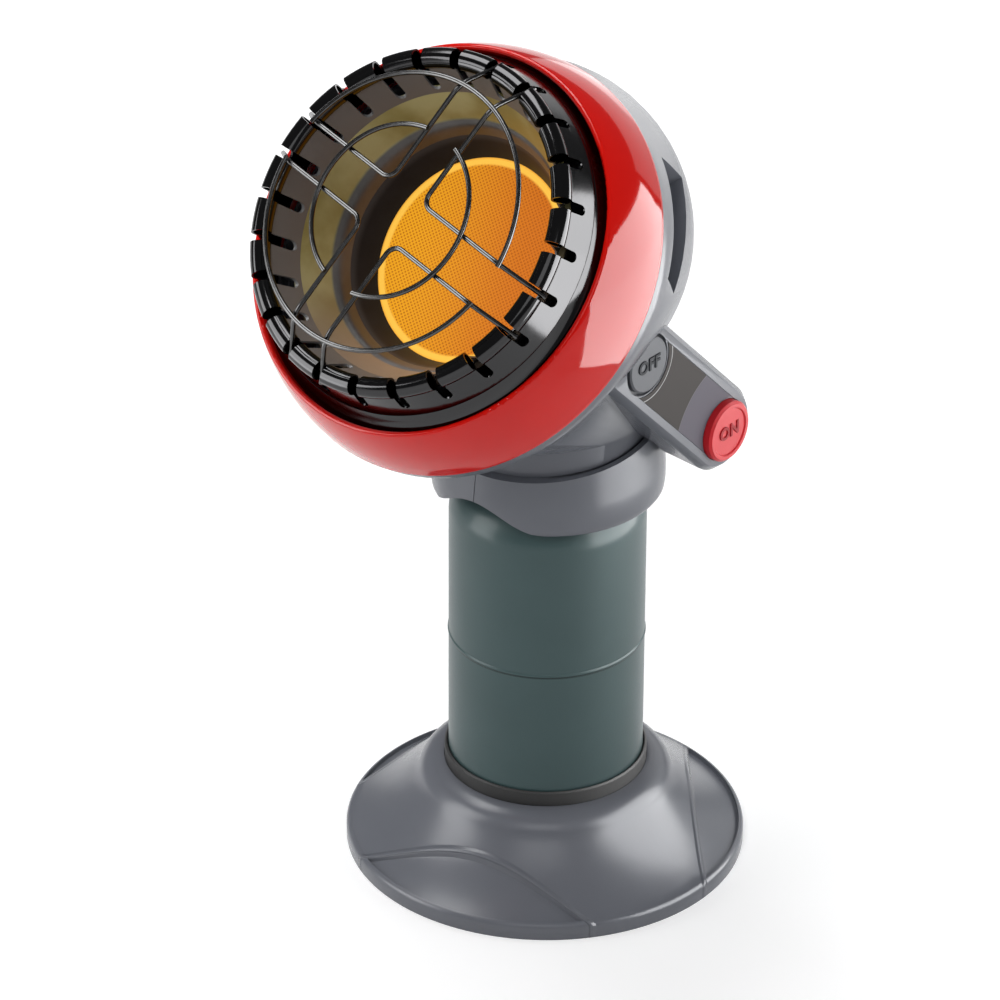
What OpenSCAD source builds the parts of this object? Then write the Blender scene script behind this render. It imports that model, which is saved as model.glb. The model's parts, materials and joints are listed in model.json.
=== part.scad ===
// Portable radiant heater on a disposable gas cylinder.
// A wide moulded foot holds the cylinder in a rubber cup.  The regulator
// screws onto the cylinder's neck and a two-part collar clamps it under a
// moulded head, which carries the tilted ceramic burner, its slotted
// reflector, the wire guard and the two push buttons.
// Millimetres, +Z up, origin on the floor under the cylinder's axis.
// The head faces -Y; its own frame has Z along the burner's axis.

/* [Gas cylinder] */
// Outside diameter of the gas cylinder
cyl_d = 98.4; // [84:0.2:118]
// Height of the cylinder from its base to the end of its shoulder
cyl_h = 189; // [150:1:260]
// Thickness of the cylinder's steel
cyl_wall = 1; // [0.8:0.1:2]
// Radius of the rounded shoulder
shoulder_r = 20; // [14:1:26]
// Height of the weld seam above the cylinder's base
seam_h = 100.5; // [60:0.5:140]
// Outside diameter of the threaded neck
neck_d = 25.4; // [22:0.2:28]
// Length of the threaded neck
neck_len = 13; // [11:0.5:16]

/* [Foot] */
// Diameter of the foot across its rim
foot_d = 202.4; // [180:0.4:240]
// Height of the foot's collar
foot_h = 47; // [44:0.5:60]
// Height of the rounded rim
rim_h = 9; // [7:0.5:11]
// Radius of the hollow flare between collar and rim
flare_r = 104.8; // [98:0.2:140]
// Depth of the socket for the cylinder
socket_depth = 27.5; // [20:0.5:30]
// Wall of the foot's moulding
foot_wall = 2.6; // [2:0.1:3.4]
// Step down to each of the three sunk panels
panel_drop = 1.9; // [1:0.1:2.2]
// Distance from the socket to each panel's inner edge
panel_off = 23.6; // [20:0.2:28]
// Radius of each panel's inner edge in plan
panel_arc = 640; // [300:10:900]
// Number of ribs under the foot
rib_n = 12; // [6:1:18]
// Height of the rubber cup above the foot's collar
cup_lip = 7.7; // [3:0.1:12]
// Wall of the rubber cup
cup_wall = 1.7; // [1.2:0.1:3]

/* [Collar] */
// Height of the collar
collar_h = 36; // [30:0.5:44]
// Wall of the collar
collar_wall = 3; // [2:0.1:4]
// Distance from the cylinder to the outside of the collar
collar_off = 8.8; // [7:0.1:14]
// Rise of the arch at the front of the collar's lower edge
arch_h = 12.5; // [4:0.5:15]
// Half width of that arch in degrees
arch_half = 38; // [20:1:50]

/* [Head] */
// Tilt of the burner's axis above the horizontal in degrees
head_tilt = 40; // [34:1:48]
// Height of the head's pivot above the cylinder's neck
head_up = 78.8; // [74:0.2:100]
// Largest diameter of the red bezel
bezel_d = 213; // [207:0.5:230]
// Drop of the bezel below the burner's axis
bezel_drop = 1.8; // [0:0.1:2.2]
// Radius of the bezel's rolled lip
lip_r = 1.6; // [1.4:0.1:3]
// Radius of the bezel's broad outer face in section
face_arc = 100; // [60:1:104]
// Radius of the housing's round back
dome_r = 85.6; // [82:0.2:94]
// Offset of the round back above the burner's axis
dome_v = 22.6; // [18:0.2:26]
// Place of the round back along the burner's axis
dome_s = 54; // [48:0.5:58]
// Wall of the head's moulding
head_wall = 3; // [2.4:0.1:4]

/* [Burner and reflector] */
// Diameter of the glowing face of the ceramic tile
tile_d = 102.6; // [96:0.2:106]
// Thickness of the ceramic tile
tile_t = 13; // [10:0.5:16]
// Thickness of the reflector's sheet
sheet = 1; // [0.8:0.1:1.4]
// Radius of the rolled bead round the reflector
bead_r = 5; // [4:0.1:6]
// Number of slots round the reflector
slot_n = 24; // [20:4:28]
// Width of each slot
slot_w = 5.2; // [4.4:0.1:6]
// Lean of each slot's end in degrees
slot_lean = 22; // [0:1:30]

/* [Guard] */
// Diameter of the guard's wire
wire_d = 2.4; // [1.8:0.1:2.8]
// Radius of the guard's outer ring
ring_out = 67.9; // [64:0.1:72]
// Radius of the guard's inner ring
ring_in = 42.3; // [38:0.1:46]
// Radius of the bend that joins each pair of legs
corner_r = 6; // [4:0.1:8]

/* [Controls] */
// Distance between the centres of the two buttons
button_gap = 87.2; // [80:0.2:92]
// Diameter of the ON button
on_d = 31.2; // [28:0.1:34]
// Travel of the ON button
on_travel = 6; // [3:0.5:6]
// Diameter of the OFF button
off_d = 28.4; // [25:0.1:30]
// Travel of the OFF button
off_travel = 4; // [2:0.5:5]
// Half width of the control pod
pod_half = 22; // [20:0.5:25]
// Distance of the control panel from the cylinder's side
pod_off = 30.8; // [28.8:0.2:38.8]

/* [Hidden] */
$fn = 96;
eps = 0.05;
part_gap = 0.3;       // between curved faces of pieces that move
seat_gap = 0.1;       // between curved faces of pieces that are fixed
thread_gap = 0.08;    // radial play of the screwed neck
plastic = [0.42, 0.43, 0.46];
steel = [0.72, 0.73, 0.74];
brass = [0.78, 0.64, 0.34];

// ---- places along the cylinder's axis
cyl_r = cyl_d / 2;
neck_r = neck_d / 2;
socket_z = foot_h - socket_depth;
cyl_z = socket_z + 1.5;
top_z = cyl_z + cyl_h;
neck_z = top_z + neck_len;
seal_t = 2;
roof_z = neck_z + seal_t;
shelf_z = roof_z + 1;
shelf_t = 3.5;
can_z = shelf_z + shelf_t;
head_z = neck_z + head_up;

// ---- foot
liner_in = cyl_r + part_gap;
liner_r = liner_in + cup_wall;
bore_r = liner_r + seat_gap * 2;
foot_r = foot_d / 2;
roll_r = 14.4;                       // roll at the top of the collar
fold = [bore_r + 13.6, foot_h - 9.6]; // where the roll meets the flare
edge = [foot_r - 3, rim_h];           // where the flare meets the rim
// centre of the arc of radius r through a and b, bulging down and left
function arc_centre(a, b, r) =
    let (m = (a + b) / 2, d = b - a, c = norm(d),
         n = [-d[1], d[0]] / c)
    m + n * sqrt(r * r - c * c / 4);
flare_c = arc_centre(fold, edge, flare_r);
panel_near = bore_r + panel_off;

// ---- collar and head
collar_r = cyl_r + collar_off;
collar_z = roof_z - 19;
seam_z = collar_z + collar_h;
seam_tilt = 8;                        // the top seam rises to the back
neck_out = collar_r - 6.4;            // outside of the housing's neck
spigot_r = neck_out - head_wall - part_gap;

// ---- reflector, in the head's frame (radius, distance along the axis)
tile_s = 78.3;
frame_s = 93.2;
dish_s = 118.4;
front_s = 82.5;                        // front edge of the housing
face_r = tile_d / 2;
frame_top = face_r + 6.6;
dish_top = frame_top + 12.9;
bead_c = [dish_top + 10.2, 138.2];
band_foot = dish_top + 20.7;          // foot of the outer band
bezel_in = band_foot + bezel_drop + 0.8; // inner edge of the bezel
bezel_r = bezel_d / 2;
rear_r = bezel_r - 1;                  // front edge of the housing
lip = [bezel_in + lip_r, 116.5];       // centre of the bezel's rolled lip
cup_r = face_r + 2.7;
shield_s = 35;
slot_low = 124.2;                     // centre of each slot's inner end
slot_pitch = 360 / slot_n;
arm0 = -14;                           // direction of the guard's first arm

// ---- guard
wire_r = wire_d / 2;
leg_s = 154;
leg_off = (bead_c[0] - 3) * sin(slot_pitch / 2) + slot_w / 2 - wire_r
    - part_gap;
leg_bend = 14;
leg_flat = bead_c[0] - 20.8;
leg_end = bead_c[0] + 4;

// ---- controls: the pod's frame has X along the strip and Z outward
on_yz = [36.8, -54.9];                // ON button from the head's pivot
strip = [sqrt(0.5), -sqrt(0.5)];
off_yz = on_yz - strip * button_gap;
button_hole = max(on_d / 2, off_d / 2) + 0.4;
pod_x = cyl_r + pod_off;
panel_t = 3;
back_x = pod_x - panel_t;

module in_head() {
    translate([0, 0, head_z]) rotate([90 - head_tilt, 0, 0]) children();
}

// the bezel and the housing's edge lie lower than the burner's axis
module in_bezel() {
    in_head() translate([0, -bezel_drop, 0]) children();
}

module on_strip(yz) {
    translate([0, yz[0], head_z + yz[1]])
        rotate([45, 0, 0]) rotate([0, 90, 0]) children();
}

module ring(r1, r2, z1, z2) {
    rotate_extrude() translate([r1, z1]) square([r2 - r1, z2 - z1]);
}

module disc(r, z1, z2) {
    translate([0, 0, z1]) cylinder(r = r, h = z2 - z1);
}

// ---- round tubes along a smooth route
function mid(a, b, c, d, t) = 0.5 * (2 * b + (c - a) * t
    + (2 * a - 5 * b + 4 * c - d) * t * t
    + (3 * b - a - 3 * c + d) * t * t * t);
function smooth(p, n) = let (m = len(p) - 1) [
    for (i = [0 : m - 1]) for (k = [0 : n - 1])
        mid(p[max(i - 1, 0)], p[i], p[i + 1], p[min(i + 2, m)], k / n),
    p[m]];
// the same with a straight first and last length
function run(p, n) = let (m = len(p) - 1)
    concat([p[0]], smooth([for (i = [1 : m - 1]) p[i]], n), [p[m]]);
function unit(v) = v / norm(v);
function side(t) = unit(cross(t, [0.31, -0.42, 0.85]));

module tube(route, r, sides = 10) {
    m = len(route);
    pts = [for (i = [0 : m - 1])
        let (t = unit(route[min(i + 1, m - 1)] - route[max(i - 1, 0)]),
             u = side(t), w = cross(t, u))
        for (k = [0 : sides - 1])
            route[i] + r * (cos(360 * k / sides) * u
                + sin(360 * k / sides) * w)];
    walls = [for (i = [0 : m - 2]) for (k = [0 : sides - 1]) for (h = [0, 1])
        let (n = (k + 1) % sides, a = i * sides, b = a + sides)
        h == 0 ? [a + n, a + k, b + k] : [a + n, b + k, b + n]];
    first = [for (k = [0 : sides - 1]) k];
    last = [for (k = [sides - 1 : -1 : 0]) (m - 1) * sides + k];
    polyhedron(pts, concat(walls, [first], [last]), convexity = 6);
}

// ================= foot =================
module foot_skin() {
    rotate_extrude() {
        translate([edge[0], edge[1] - 3]) circle(r = 3, $fn = 32);
        translate([bore_r, 0]) square([foot_r - bore_r, edge[1] - 3]);
        translate([bore_r, 0]) square([edge[0] - bore_r, edge[1]]);
        difference() {
            polygon([[bore_r, rim_h - 1], [foot_r - 1, rim_h - 1],
                [foot_r - 1, rim_h + 1], [fold[0] + 2, fold[1] + 1],
                [bore_r, fold[1] + 1]]);
            translate(flare_c) circle(r = flare_r, $fn = 200);
        }
        intersection() {
            translate([bore_r, foot_h - roll_r]) circle(r = roll_r);
            translate([bore_r, fold[1]]) square([roll_r, 20]);
        }
    }
}

module foot_panel() {
    intersection() {
        rotate_extrude() intersection() {
            translate(flare_c)
                circle(r = flare_r + panel_drop, $fn = 200);
            translate([bore_r, 4])
                square([edge[0] + 0.7 - bore_r, foot_h]);
        }
        translate([panel_near + panel_arc, 0, 0])
            cylinder(r = panel_arc, h = foot_h, $fn = 360);
        translate([0, -foot_r, 0]) cube([foot_r, foot_d, foot_h]);
    }
}

module foot_cavity() {
    low_r = bore_r + foot_wall;
    rotate_extrude() difference() {
        union() {
            translate([low_r, -1])
                square([foot_r - foot_wall - 1 - low_r, rim_h - 2]);
            difference() {
                translate([low_r, -1]) square(
                    [foot_r - foot_wall - 1 - low_r, fold[1] + 1]);
                translate(flare_c) circle(
                    r = flare_r + panel_drop + foot_wall, $fn = 200);
            }
        }
        translate([foot_r - foot_wall - 1, rim_h - 3])
            square([foot_wall, 20]);
    }
    difference() {
        disc(bore_r - eps, -1, socket_z - 2.5);
        disc(12, -2, socket_z);
    }
}

module foot_ribs() {
    for (k = [0 : rib_n - 1]) rotate([0, 0, (k + 0.5) * 360 / rib_n])
        translate([11, -1, -2]) cube([foot_r, 2, foot_h]);
    ring(bore_r - 1.2, bore_r + foot_wall, -2, foot_h);
}

module foot_base() {
    color(plastic) difference() {
        union() {
            foot_skin();
            disc(bore_r + eps, 0, socket_z);
        }
        for (a = [-78, 42, 162]) rotate([0, 0, a]) foot_panel();
        difference() {
            foot_cavity();
            foot_ribs();
        }
    }
}

module socket_liner() {
    color([0.06, 0.06, 0.06]) rotate_extrude() polygon([
        [14, socket_z], [liner_r, socket_z],
        [liner_r, foot_h + cup_lip - 0.8],
        [liner_r - 0.8, foot_h + cup_lip],
        [liner_in + 0.4, foot_h + cup_lip],
        [liner_in, foot_h + cup_lip - 0.4], [liner_in, cyl_z],
        [14, cyl_z]]);
}

// ================= gas cylinder =================
module bottle(r, z1, z2, rs, rb) {
    disc(r, z1 + rb, z2 - rs);
    rotate_extrude() {
        translate([r - rs, z2 - rs]) circle(r = rs);
        translate([r - rb, z1 + rb]) circle(r = rb);
        square_up(r - rs, z2 - rs - 1, z2);
        square_up(r - rb, z1, z1 + rb + 1);
    }
}

module square_up(w, z1, z2) {
    translate([0, z1]) square([w, z2 - z1]);
}

module gas_cylinder() {
    dome = 130;
    color([0.29, 0.37, 0.37]) difference() {
        union() {
            bottle(cyl_r, cyl_z, top_z, shoulder_r, 10);
            disc(neck_r + 2.5, top_z - 1, top_z + 2);
            disc(neck_r, top_z, neck_z);
            rotate_extrude() translate([cyl_r - 1, cyl_z + seam_h])
                circle(r = 1.5, $fn = 32);
        }
        difference() {
            bottle(cyl_r - cyl_wall, cyl_z + cyl_wall, top_z - cyl_wall,
                shoulder_r - cyl_wall, 10 - cyl_wall);
            translate([0, 0, cyl_z + 4 + cyl_wall - dome])
                sphere(r = dome, $fn = 200);
        }
        translate([0, 0, cyl_z + 4 - dome]) sphere(r = dome, $fn = 200);
        disc(4, top_z - 4, neck_z);
        disc(8, neck_z - 6, neck_z + 1);
    }
}

module cylinder_valve() {
    color(brass) difference() {
        union() {
            disc(4 - eps, top_z - 4, neck_z - 5);
            disc(6.5, neck_z - 6, neck_z - 3);
        }
        disc(1.6, top_z - 5, neck_z);
    }
}

module valve_core() {
    color(steel) {
        disc(1.4, top_z - 3, neck_z - 2);
    }
}

module inlet_seal() {
    color([0.12, 0.12, 0.12])
        ring(neck_r - 4.5, neck_r - 0.1, neck_z, roof_z);
}

// ================= regulator =================
out_a = 16;                           // direction of the outlet ear
out_r = 34;
can_r = 27;
can_low = can_z + 11;
can_top = can_low + 12;

module regulator_body() {
    color([0.62, 0.6, 0.55]) difference() {
        union() {
            disc(neck_r + 6.3, roof_z - 11.5, can_z);
            disc(neck_r + 11.3, shelf_z - 4, shelf_z);
            disc(can_r, can_z, can_low);
            rotate([0, 0, out_a]) {
                translate([can_r - 5, -4.5, can_z + 0.5])
                    cube([out_r - can_r + 5, 9, 9]);
                translate([out_r, 0, 0]) disc(4.5, can_z + 0.5, can_low + 4);
            }
        }
        disc(neck_r + thread_gap, roof_z - 12, roof_z);
        disc(1.6, roof_z - 1, can_low + 1);
        disc(can_r - 5, can_low - 5, can_low + 1);
        rotate([0, 0, out_a]) translate([out_r, 0, 0])
            disc(2, can_z + 3, can_low + 5);
    }
}

module diaphragm() {
    color([0.15, 0.15, 0.16]) disc(can_r, can_low, can_low + 1);
}

module regulator_spring() {
    turns = 4;
    wire = 0.8;
    span = can_top - can_low - 4 - 2 * wire;
    color(steel) tube([for (i = [0 : 12 * turns])
        [8 * cos(30 * i), 8 * sin(30 * i),
         can_low + 1.1 + wire + span * i / (12 * turns)]], wire, 6);
}

module regulator_cap() {
    color([0.62, 0.6, 0.55]) difference() {
        union() {
            disc(can_r, can_low + 1, can_low + 3);
            disc(can_r - 4, can_low + 1, can_top - 2);
            disc(can_r - 7, can_low + 1, can_top);
        }
        disc(can_r - 9, can_low, can_top - 2);
        disc(1.5, can_low, can_top + 1);
    }
}

// ================= gas path in the head =================
gas_yz = on_yz + [6, 6];
valve_x = [pod_x - 26, pod_x - 11];
port_x = [valve_x[0] + 4, valve_x[0] + 11];
port_l = 9;
// a point d along the strip from the valve's axis, towards OFF
function port(x, d) = [x, gas_yz[0] - strip[0] * d,
    head_z + gas_yz[1] - strip[1] * d];

module valve_body() {
    color(brass) on_strip(gas_yz) difference() {
        union() {
            disc(7, valve_x[0], valve_x[1]);
            for (x = port_x) translate([0, 0, x]) rotate([0, -90, 0])
                disc(3.2, 0, port_l);
        }
        disc(2.1, valve_x[0] + 5, valve_x[1] + 1);
    }
}

module valve_stem() {
    color(steel) translate([0, gas_yz[0], head_z + gas_yz[1]])
        rotate([0, 90, 0]) {
            disc(2, valve_x[0] + 5 + on_travel, back_x - 2);
        }
}

jet_s = -16;
function head_point(x, v, s) = [x,
    v * sin(head_tilt) - s * cos(head_tilt),
    head_z + v * cos(head_tilt) + s * sin(head_tilt)];

module supply_tube() {
    start = [out_r * cos(out_a), out_r * sin(out_a), can_low + 4.2];
    end = port(port_x[0], port_l + 0.2);
    color([0.72, 0.45, 0.3]) tube(run([start, start + [0, 0, 6],
        start + [3, 4, 18], (start + end) / 2 + [0, -3, 22],
        port(port_x[0] - 1, port_l + 12),
        port(port_x[0], port_l + 5), end], 3), 2);
}

module burner_tube() {
    jet = head_point(0, 0, jet_s - 2.2);
    color([0.72, 0.45, 0.3]) tube(run([
        port(port_x[1], port_l + 0.2), port(port_x[1], port_l + 5),
        port(port_x[1] - 6, port_l + 25), jet + [38, -6, -2],
        jet + [20, 8, -4], head_point(3, 0, jet_s - 14),
        head_point(0, 0, jet_s - 9), jet], 3), 2);
}

module jet_holder() {
    color(brass) in_head() difference() {
        union() {
            disc(7.9, jet_s + 2, jet_s + 10);
            disc(10, jet_s, jet_s + 4);
            disc(3.5, jet_s - 2, jet_s);
            disc(3.5, jet_s + 10, jet_s + 14);
        }
        disc(0.8, jet_s - 3, jet_s + 15);
    }
}

module mixer_tube() {
    color(steel) in_head() difference() {
        union() {
            disc(9, jet_s + 4, shield_s + 2);
            disc(14, shield_s + 1, shield_s + 2);
        }
        disc(8, jet_s + 3, shield_s + 3);
        for (a = [45, 135]) translate([0, 0, jet_s + 17])
            rotate([90, 0, a]) translate([0, 0, -12])
                cylinder(r = 3.5, h = 24, $fn = 32);
    }
}

module burner_cup() {
    step = tile_s - tile_t - 1;
    color(steel) in_head() rotate_extrude() polygon([
        [9.2, shield_s], [cup_r - 4, shield_s], [cup_r - 4, step - 1],
        [cup_r, step - 1], [cup_r, tile_s - 1],
        [cup_r + 8, tile_s - 1], [cup_r + 8, tile_s],
        [cup_r - 1, tile_s], [cup_r - 1, step], [cup_r - 5, step],
        [cup_r - 5, shield_s + 1], [9.2, shield_s + 1]]);
}

module tile_gasket() {
    step = tile_s - tile_t - 1;
    color([0.9, 0.88, 0.82]) in_head() rotate_extrude() polygon([
        [cup_r - 5, step], [cup_r - 1, step], [cup_r - 1, tile_s],
        [cup_r - 2, tile_s], [cup_r - 2, step + 1],
        [cup_r - 5, step + 1]]);
}

module ceramic_tile() {
    color([0.95, 0.55, 0.15]) in_head()
        disc(cup_r - 2, tile_s - tile_t, tile_s);
}

// ================= reflector =================
module tile_frame() {
    color([0.13, 0.12, 0.12]) in_head() rotate_extrude() polygon([
        [face_r, tile_s], [cup_r + 8, tile_s],
        [cup_r + 8, tile_s + sheet], [face_r + 1.6, tile_s + sheet],
        [frame_top + 1, frame_s - sheet], [frame_top + 3, frame_s - sheet],
        [frame_top + 3, frame_s], [frame_top, frame_s]]);
}

module reflector_dish() {
    color([0.45, 0.43, 0.25]) in_head() rotate_extrude() polygon([
        [frame_top, frame_s], [frame_top + 3, frame_s],
        [frame_top + 3, frame_s + sheet],
        [frame_top + 1.6, frame_s + sheet],
        [dish_top + 1.1, dish_s - sheet], [dish_top + 4, dish_s - sheet],
        [dish_top + 4, dish_s], [dish_top, dish_s]]);
}

module slotted_rim() {
    half = bead_r - 0.8;
    root = bead_c[1] - bead_r * 0.55;
    low = 106;
    seat = bezel_drop + 3.6;          // flange that the bezel sits on
    slot_in = 10;
    slot_run = 38;
    slot_up = 28;
    color([0.55, 0.55, 0.55]) in_head() difference() {
        rotate_extrude() {
            difference() {
                translate(bead_c) circle(r = bead_r, $fn = 48);
                translate(bead_c) circle(r = bead_r - sheet, $fn = 48);
            }
            polygon([[dish_top, dish_s], [dish_top + 1.1, dish_s],
                [bead_c[0] - half + 1.1, root],
                [bead_c[0] - half, root]]);
            polygon([[bead_c[0] + half, root],
                [bead_c[0] + half - 1.1, root],
                [band_foot - 1, 113], [band_foot - 1, low],
                [band_foot + seat, low - sheet], [band_foot + seat, low],
                [band_foot, low], [band_foot, 113.4]]);
        }
        for (k = [0 : slot_n - 1]) rotate([0, 0,
            arm0 + (k + 0.5) * slot_pitch]) {
            translate([dish_top + 2.5, 0, slot_low])
                rotate([0, -slot_lean, 0]) translate([-slot_in, 0, 0]) {
                    rotate([0, 90, 0]) cylinder(d = slot_w, h = slot_run);
                    translate([0, -slot_w / 2, 0])
                        cube([slot_run, slot_w, slot_up]);
                }
        }
    }
}

shield_top = front_s - 8;
boss_r = rear_r - 12;                  // circle of the shield's four screws

module heat_shield() {
    w = rear_r - 17.5;
    rim = rear_r - 6.5;
    color(steel) in_head() difference() {
        rotate_extrude() polygon([
            [9.6, shield_s - 1], [cup_r + 6, shield_s - 1],
            [w, shield_top - 1], [rim, shield_top - 1],
            [rim, shield_top], [w - 0.6, shield_top],
            [cup_r + 5.4, shield_s], [9.6, shield_s]]);
        for (a = [45 : 90 : 315]) rotate([0, 0, a])
            translate([boss_r, 0, 0])
                disc(1.6, shield_top - 4, shield_top + 4);
        for (a = [elec_a, 180 - elec_a]) rotate([0, 0, a])
            translate([elec_r, 0, 0])
                disc(2.3, shield_s - 4, shield_s + 30);
    }
}

module shield_screws() {
    color(steel) in_head() for (a = [45 : 90 : 315]) rotate([0, 0, a])
        translate([boss_r, 0, 0]) {
            disc(1.4, shield_top - 7, shield_top);
            disc(2.6, shield_top, shield_top + 2);
        }
}

// ================= bezel =================
module bezel_ring() {
    wall = 2.4;
    back = [bezel_r - 0.3, front_s + 1.5];
    // the outer face passes the rear edge and closes on the rolled lip
    d = norm(back - lip);
    a = (pow(face_arc - lip_r, 2) - pow(face_arc, 2) + d * d) / (2 * d);
    h = sqrt(pow(face_arc - lip_r, 2) - a * a);
    u = (back - lip) / d;
    c = lip + a * u + h * [u[1], -u[0]];
    color([0.78, 0.12, 0.1]) in_bezel() {
        rotate_extrude() translate(lip) circle(r = lip_r, $fn = 48);
        rotate_extrude() intersection() {
            difference() {
                translate(c) circle(r = face_arc, $fn = 240);
                translate(c) circle(r = face_arc - wall, $fn = 240);
            }
            polygon([c, c + 2 * (lip - c), [bezel_r + 40, lip[1]],
                [bezel_r + 40, front_s + 1], [c[0], front_s + 1]]);
        }
        rotate_extrude() polygon([[bezel_r - 2.2, front_s],
            [bezel_r - 0.6, front_s], [bezel_r - 0.3, front_s + 2],
            [bezel_r - 2.2, front_s + 2]]);
        rotate_extrude() translate([bezel_in, 106])
            square([2.2, lip[1] - 106]);
    }
}

// ================= rear housing with the control pod =================
vent_a = [15, 50];                    // span of each side recess
module pod_shape(x1, x2, half, round) {
    near = off_yz - strip * 14;
    hull() {
        for (b = [on_yz, near]) on_strip(b) {
            translate([0, 0, x2 - round - 2])
                cylinder(r = half, h = 2, $fn = 48);
            translate([0, 0, x2 - 1])
                cylinder(r = half - round + 0.5, h = 1, $fn = 48);
        }
        for (b = [on_yz - strip * 8, near]) on_strip(b)
            translate([0, 0, x1]) cylinder(r = half - 1, h = 1, $fn = 48);
    }
}

module dome_shape(w) {
    seam = seam_z - 8;
    in_head() {
        hull() {
            translate([0, -bezel_drop, 0])
                disc(rear_r - w, front_s - 6, front_s);
            translate([0, dome_v, dome_s])
                sphere(r = dome_r - w, $fn = 64);
        }
    }
    hull() {
        in_head() translate([0, -12, 58])
            disc(rear_r - 22.5 - w, 0, 1);
        in_head() translate([0, dome_v - 22, dome_s - 18])
            sphere(r = dome_r - 30 - w, $fn = 48);
        disc(neck_out - w, seam + 16, seam + 17);
    }
    disc(neck_out - w, seam - 4, seam + 17);
}

module seam_cut(up) {
    // everything below the tilted seam plane raised by up
    translate([0, 0, seam_z + up]) rotate([seam_tilt, 0, 0])
        translate([-150, -150, -200]) cube([300, 300, 200]);
}

module collar_room(extra) {
    intersection() {
        disc(collar_r + 0.6 + extra, collar_z - 30, seam_z + 30);
        seam_cut(0.2 + extra);
    }
}

module rear_housing() {
    color(plastic) difference() {
        union() {
            dome_shape(0);
            pod_shape(40, pod_x, pod_half, 3.5);
            in_bezel() disc(rear_r + 0.3, front_s - 3, front_s);
        }
        collar_room(0);
        difference() {
            union() {
                dome_shape(head_wall);
                difference() {
                    pod_shape(43, back_x, pod_half - head_wall, 0.8);
                    collar_room(head_wall);
                }
            }
            in_head() for (a = [45 : 90 : 315]) rotate([0, 0, a]) {
                translate([boss_r, 0, 0]) cylinder(r = 4,
                    h = shield_top - 1, $fn = 24);
                translate([boss_r, -1.2, 0])
                    cube([24, 2.4, shield_top - 1]);
            }
            pocket(head_wall);
            mirror([1, 0, 0]) pocket(head_wall);
            pod_ribs();
        }
        disc(neck_out - head_wall, seam_z - 20, seam_z + 20);
        in_bezel() disc(rear_r - head_wall, front_s - 7, front_s + 1);
        in_bezel() disc(bezel_r + 3, front_s, front_s + 60);
        in_head() for (a = [45 : 90 : 315]) rotate([0, 0, a])
            translate([boss_r, 0, shield_top - 12])
                cylinder(r = 1.45, h = 14, $fn = 16);
        pocket(0);
        mirror([1, 0, 0]) pocket(0);
        for (b = [on_yz, off_yz]) on_strip(b)
            translate([0, 0, back_x - 1])
                cylinder(r = button_hole, h = 10, $fn = 64);
        label_recess();
    }
}

// ribs in the pod that hold the valve, the igniter and the switch
module pod_ribs() {
    difference() {
        on_strip(on_yz) translate([2, -24, valve_x[0] + 6])
            cube([24, 48, 3]);
        on_strip(gas_yz) disc(7 + seat_gap, 0, pod_x);
        on_strip(spark_yz) disc(6 + seat_gap, 0, pod_x);
    }
    on_strip(off_yz) {
        for (k = [0, 1]) mirror([0, k, 0])
            translate([-8, 5 + seat_gap, back_x - 20]) cube([28, 3, 7]);
        translate([button_hole + 2, -8, back_x - 20]) cube([3, 16, 21]);
    }
}

// side recess behind the flange; w thickens it for the wall round it
module pocket(w) {
    depth = 6;
    in_head() intersection() {
        rotate([0, 0, vent_a[0] - w * 0.7]) rotate_extrude(
            angle = vent_a[1] - vent_a[0] + w * 1.4) polygon([
                [rear_r - 20.5 - w, 41 - w], [rear_r + 20, 38 - w],
                [rear_r + 20, 68 + w], [rear_r - 8.5 - w, 66 + w],
                [rear_r - 16.5 - w, 50]]);
    }
}

module label_recess() {
    on_strip(on_yz) translate([-button_gap - 2, -15.5, pod_x - 0.6])
        cube([button_gap + 4, 31, 2]);
}

module label_plate() {
    color([0.25, 0.24, 0.26]) difference() {
        on_strip(on_yz) translate([-button_gap - 1.7, -15.2, pod_x - 0.6])
            cube([button_gap + 3.4, 30.4, 0.4]);
        for (b = [on_yz, off_yz]) on_strip(b)
            translate([0, 0, back_x - 1])
                cylinder(r = button_hole + 0.8, h = 10);
    }
}

// ================= buttons and what they press =================
module on_button() {
    r = on_d / 2;
    color([0.8, 0.15, 0.15]) on_strip(on_yz) rotate_extrude() polygon([
        [0, back_x - 2], [2, back_x - 2], [13, back_x - 2],
        [13, back_x - 1.6], [r + 1.6, back_x - 1.6],
        [r + 1.6, back_x - 0.1], [r, back_x - 0.1], [r, pod_x + 2.8],
        [r - 1.2, pod_x + 4], [r - 3, pod_x + 4], [r - 3.6, pod_x + 3.2],
        [0, pod_x + 3.2]]);
}

module off_button() {
    r = off_d / 2;
    color([0.3, 0.31, 0.34]) on_strip(off_yz) rotate_extrude() polygon([
        [0, back_x - 2], [r - 2, back_x - 2],
        [r - 2, back_x - 1.6], [button_hole + 1.4, back_x - 1.6],
        [button_hole + 1.4, back_x - 0.1], [r, back_x - 0.1],
        [r, pod_x + 0.2], [r - 1, pod_x + 0.8], [0, pod_x + 0.8]]);
}

spark_yz = on_yz - [6, 6];
// a point d along the strip from the igniter's axis, towards OFF
function side_point(x, d) = [x, spark_yz[0] - strip[0] * d,
    head_z + spark_yz[1] - strip[1] * d];
module piezo_igniter() {
    color([0.1, 0.1, 0.12])
        translate([0, spark_yz[0], head_z + spark_yz[1]])
            rotate([0, 90, 0]) difference() {
                disc(6, valve_x[0] + 4, valve_x[1]);
                disc(4.2, valve_x[0] + 6, valve_x[1] + 1);
            }
}

module igniter_plunger() {
    color([0.85, 0.85, 0.8])
        translate([0, spark_yz[0], head_z + spark_yz[1]])
            rotate([0, 90, 0])
                disc(4, valve_x[0] + 6.5 + on_travel, back_x - 2);
}

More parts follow.
